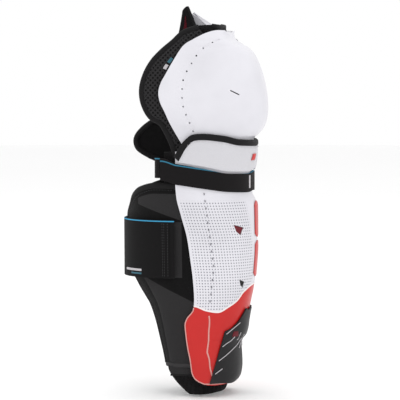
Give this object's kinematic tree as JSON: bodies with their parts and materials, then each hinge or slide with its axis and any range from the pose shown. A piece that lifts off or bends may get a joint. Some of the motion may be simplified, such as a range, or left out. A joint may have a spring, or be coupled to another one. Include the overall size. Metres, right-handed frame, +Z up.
{
  "type": "hockey shin guard",
  "caption": "Hockey shin guard with a moulded knee cap and shin shell, foam lining, perforated knee wings, calf wraps and two hook-and-loop straps.",
  "frame": {"origin": "on the leg's axis at the height of the guard's lower edge", "axes": "+Z up the leg, -Y towards the front of the shin, -X towards the outer (lateral) side"},
  "size_m": [0.1462, 0.183, 0.491],
  "materials": {
    "white_plastic": "satin moulded shell",
    "red_plastic": "satin moulded shell",
    "black_plastic": "moulded, fine grain",
    "collar_cloth": "coated padded cloth",
    "foam_liner": "brushed foam lining",
    "black_cloth": "stretch knit",
    "grey_cloth": "charcoal knit",
    "wing_mesh": "perforated laminate",
    "red_lining": "dark red lining",
    "edge_binding": "rolled edge tape",
    "strap_elastic": "woven elastic with a blue edge",
    "hook_tape": "hook and loop tape"
  },
  "bodies": {
    "shin": {"upper_shell": "white_plastic", "lower_shell": "red_plastic", "instep_guard": "black_plastic", "upper_front_strip": "red_plastic", "lower_front_strip": "red_plastic", "upper_vent_lateral": "red_lining", "upper_vent_medial": "red_lining", "lower_vent_lateral": "black_plastic", "lower_vent_medial": "black_plastic", "shin_liner": "foam_liner", "ankle_pad": "foam_liner", "collar_pad": "collar_cloth", "collar_binding": "edge_binding", "lateral_side_panel": "grey_cloth", "medial_side_panel": "grey_cloth", "upper_strap": "strap_elastic", "upper_loop_patch": "hook_tape", "knee_bridge": "black_cloth", "lateral_gusset": "black_cloth", "medial_flap": "black_cloth", "medial_flap_binding": "edge_binding"},
    "knee_cap": {"knee_cap_shell": "white_plastic", "knee_cap_foam": "foam_liner", "knee_liner": "foam_liner", "lateral_wing": "wing_mesh", "lateral_wing_binding": "edge_binding", "medial_wing": "wing_mesh", "medial_wing_binding": "edge_binding", "medial_tab": "black_cloth", "medial_tab_lining": "red_lining"},
    "lateral_wrap": {"lateral_calf_wrap": "black_cloth", "lateral_wrap_binding": "edge_binding", "calf_loop_patch": "hook_tape"},
    "medial_wrap": {"medial_calf_wrap": "black_cloth", "medial_wrap_binding": "edge_binding", "calf_strap_anchor": "strap_elastic"},
    "calf_strap_free_end": {"calf_strap": "strap_elastic", "calf_strap_hook_pad": "hook_tape"},
    "upper_strap_free_end": {"upper_strap_tail": "strap_elastic", "upper_hook_pad": "hook_tape"}
  },
  "joints": [
    {"name": "knee_tilt", "type": "hinge", "parent": "shin", "child": "knee_cap", "pos_m": [0, 0.02, 0.31], "axis": [-1, 0, 0], "range_deg": [0, 25], "deforming": ["knee_bridge"]},
    {"name": "calf_strap_open", "type": "hinge", "parent": "medial_wrap", "child": "calf_strap_free_end", "pos_m": [0.0339, 0.0864, 0.151], "axis": [-0.0425, 0, -0.9991], "range_deg": [0, 75]},
    {"name": "lateral_wrap_open", "type": "hinge", "parent": "shin", "child": "lateral_wrap", "pos_m": [-0.04405, 0.022, 0.04], "axis": [-0.0716, 0, 0.9974], "range_deg": [0, 30]},
    {"name": "medial_wrap_open", "type": "hinge", "parent": "shin", "child": "medial_wrap", "pos_m": [0.04405, 0.022, 0.04], "axis": [-0.0716, 0, -0.9974], "range_deg": [0, 22.5]},
    {"name": "upper_strap_open", "type": "hinge", "parent": "shin", "child": "upper_strap_free_end", "pos_m": [-0.0667, 0.0395, 0.285], "axis": [0, 0, 1], "range_deg": [0, 60]}
  ],
  "couplings": [
    {"joint": "lateral_wrap_open", "follows": "calf_strap_open", "ratio": 0.4},
    {"joint": "medial_wrap_open", "follows": "calf_strap_open", "ratio": 0.3}
  ]
}
